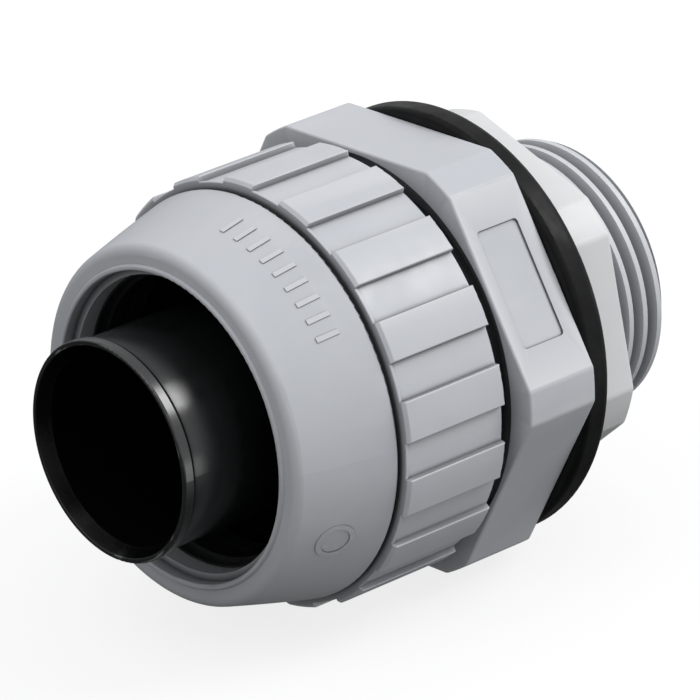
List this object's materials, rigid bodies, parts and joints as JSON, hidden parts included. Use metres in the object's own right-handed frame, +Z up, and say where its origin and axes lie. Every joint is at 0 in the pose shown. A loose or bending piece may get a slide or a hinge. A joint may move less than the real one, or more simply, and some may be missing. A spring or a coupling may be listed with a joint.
{
  "type": "cable gland",
  "caption": "Straight liquid-tight conduit gland: domed ribbed compression nut over a ferrule tube, hexagonal collar, threaded entry with sealing washer and locknut.",
  "frame": {"origin": "centre of the collar's sealing face, where the entry thread begins", "axes": "+Y along the gland's axis towards the entry thread's end, -Y towards the conduit, +Z up, one flat of the hexagon facing down"},
  "size_m": [0.0438, 0.0578, 0.0418],
  "materials": {
    "body_nylon": "satin moulded nylon, light cool grey",
    "nut_nylon": "satin moulded nylon, light cool grey",
    "locknut_nylon": "satin moulded nylon, off-white grey",
    "ferrule_plastic": "glossy black plastic",
    "ring_plastic": "satin black plastic",
    "seal_rubber": "matt black rubber",
    "gasket_rubber": "smooth black rubber with a faint sheen"
  },
  "bodies": {
    "body": {"body": "body_nylon", "ferrule": "ferrule_plastic", "ferrule_o_ring": "seal_rubber", "sealing_gland": "seal_rubber"},
    "clamp_stack": {"grip_ring": "ring_plastic", "thrust_washer": "ring_plastic"},
    "compression_nut": {"compression_nut": "nut_nylon"},
    "entry_gasket": {"entry_gasket": "gasket_rubber"},
    "locknut": {"locknut": "locknut_nylon"}
  },
  "joints": [
    {"name": "nut_advance", "type": "slide", "parent": "body", "child": "clamp_stack", "axis": [0, 1, 0], "range_m": [-0.008, 0.0017]},
    {"name": "nut_spin", "type": "hinge", "parent": "clamp_stack", "child": "compression_nut", "pos_m": [0, -0.02, 0], "axis": [0, 1, 0], "range_deg": [-1153, 245.5]},
    {"name": "locknut_advance", "type": "slide", "parent": "body", "child": "entry_gasket", "axis": [0, 1, 0], "range_m": [0, 0.009]},
    {"name": "locknut_spin", "type": "hinge", "parent": "entry_gasket", "child": "locknut", "pos_m": [0, 0.005, 0], "axis": [0, 1, 0], "range_deg": [-1, 1787]}
  ],
  "couplings": [
    {"joint": "nut_spin", "follows": "nut_advance", "rad_per_m": 2513.3},
    {"joint": "locknut_spin", "follows": "locknut_advance", "rad_per_m": 3463.7}
  ]
}
